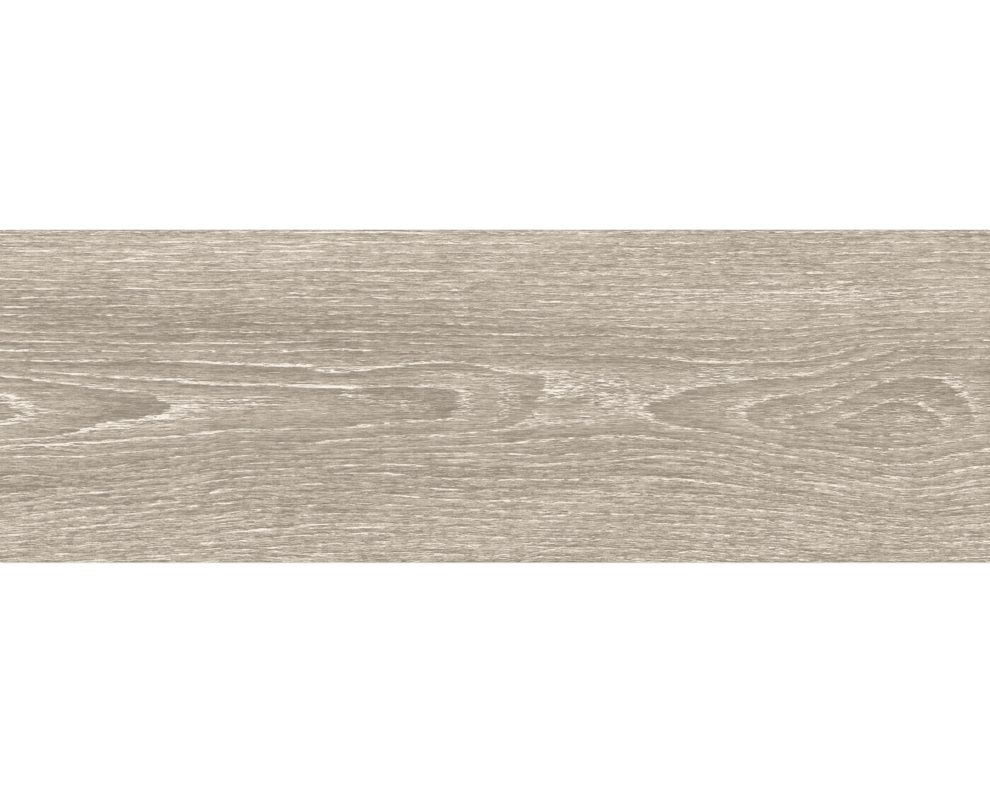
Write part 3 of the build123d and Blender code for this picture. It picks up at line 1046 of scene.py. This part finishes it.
def lay_out_bake(tile):
    """Lays the tile out on one square sheet: the face over most of it, then the back and the four sides."""
    mesh = tile.data
    corners = np.empty(len(mesh.loops), np.int32)
    mesh.loops.foreach_get("vertex_index", corners)
    at = np.empty(len(mesh.vertices) * 3)
    mesh.vertices.foreach_get("co", at)
    at = at.reshape(-1, 3)[corners]
    sizes = np.empty(len(mesh.polygons), np.int32)
    mesh.polygons.foreach_get("loop_total", sizes)
    normals = np.empty(len(mesh.polygons) * 3)
    mesh.polygons.foreach_get("normal", normals)
    facing = np.repeat(normals.reshape(-1, 3), sizes, axis=0)

    x = (at[:, 0] / HALF_LENGTH + 1) / 2
    y = (at[:, 1] / HALF_WIDTH + 1) / 2
    z = at[:, 2] / FACE_LEVEL
    long_side = np.abs(facing[:, 1]) > np.abs(facing[:, 0])
    ahead = np.where(long_side, facing[:, 1], facing[:, 0]) > 0
    upper = facing[:, 2] > FACE_TILT
    under = facing[:, 2] < BACK_TILT

    short_side_across = y * HALF_WIDTH / HALF_LENGTH + np.where(ahead, 0.5, 0.0)
    across = np.where(long_side | upper | under, x, short_side_across)
    side_low = np.where(long_side, np.where(ahead, REAR_SIDE_LOW, FRONT_SIDE_LOW), END_SIDES_LOW)
    up = side_low + SIDE_HEIGHT * z
    up = np.where(under, BACK_LOW + BACK_HEIGHT * y, up)
    up = np.where(upper, FACE_LOW + FACE_HEIGHT * y, up)
    across = SHEET_MARGIN + (1 - 2 * SHEET_MARGIN) * across
    sheet = mesh.uv_layers.new(name="OFBake")
    sheet.data.foreach_set("uv", np.stack([across, up], axis=1).astype(np.float32).ravel())


# The studio: a white floor, an even world and one soft lamp from above
FLOOR_HALF = 4.0
FLOOR_PAINT = (0.85, 0.85, 0.85, 1.0)
FLOOR_LIFT = 0.35
WORLD_WHITE = (1.0, 1.0, 1.0, 1.0)
WORLD_LIGHT = 0.4
WORLD_SEEN = 1.0
LAMP_STRENGTH = 0.6 * math.pi
LAMP_SOFTNESS = math.radians(20.0)
LAMP_TURN = (math.radians(-5.0), math.radians(-6.0), 0.0)
CAMERA_RANGE = 20.0


def floor_material():
    """White paint that the camera sees a little lighter, and nothing at all from below."""
    material = bpy.data.materials.new("white_floor")
    material.use_nodes = True
    tree = material.node_tree
    tree.nodes.remove(tree.nodes["Principled BSDF"])
    w = Wiring(tree)
    paint = w.node("ShaderNodeBsdfDiffuse")
    w.feed(paint.inputs["Color"], FLOOR_PAINT)
    lift = w.node("ShaderNodeEmission")
    w.feed(lift.inputs["Strength"], w.scaled(w.seen_directly(), FLOOR_LIFT))
    both = w.node("ShaderNodeAddShader")
    w.feed(both.inputs[0], paint.outputs[0])
    w.feed(both.inputs[1], lift.outputs[0])
    side = w.node("ShaderNodeMixShader")
    w.feed(side.inputs[0], w.node("ShaderNodeNewGeometry").outputs["Backfacing"])
    w.feed(side.inputs[1], both.outputs[0])
    w.feed(side.inputs[2], w.node("ShaderNodeBsdfTransparent").outputs[0])
    w.feed(tree.nodes["Material Output"].inputs["Surface"], side.outputs[0])
    return material


def make_stage():
    bm = bmesh.new()
    bmesh.ops.create_grid(bm, x_segments=1, y_segments=1, size=FLOOR_HALF)
    mesh = bpy.data.meshes.new("studio_floor")
    bm.to_mesh(mesh)
    bm.free()
    mesh.materials.append(floor_material())
    floor = bpy.data.objects.new("studio_floor", mesh)
    bpy.context.scene.collection.objects.link(floor)


def make_light():
    world = bpy.data.worlds.new("studio")
    bpy.context.scene.world = world
    world.use_nodes = True
    w = Wiring(world.node_tree)
    back = world.node_tree.nodes["Background"]
    w.feed(back.inputs["Color"], WORLD_WHITE)
    w.feed(back.inputs["Strength"], w.blend(w.seen_directly(), WORLD_LIGHT, WORLD_SEEN))
    lamp = bpy.data.lights.new("softbox", "SUN")
    lamp.energy = LAMP_STRENGTH
    lamp.angle = LAMP_SOFTNESS
    key = bpy.data.objects.new("softbox", lamp)
    key.rotation_euler = LAMP_TURN
    bpy.context.scene.collection.objects.link(key)


def make_camera():
    camera = bpy.data.cameras.new("camera")
    camera.sensor_fit = "HORIZONTAL"
    camera.lens = camera.sensor_width * CAMERA_HEIGHT / (FRAME_WIDTH_PX * PX)
    camera.clip_end = CAMERA_RANGE
    holder = bpy.data.objects.new("camera", camera)
    holder.location = (0.0, 0.0, FACE_LEVEL + CAMERA_HEIGHT)
    bpy.context.scene.collection.objects.link(holder)
    bpy.context.scene.camera = holder
    bpy.context.scene.view_settings.view_transform = "Standard"


tile = make_tile()
press_grain(tile)
lay_out_bake(tile)
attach(tile, "root")
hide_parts("floor_tile")
make_stage()
make_light()
make_camera()
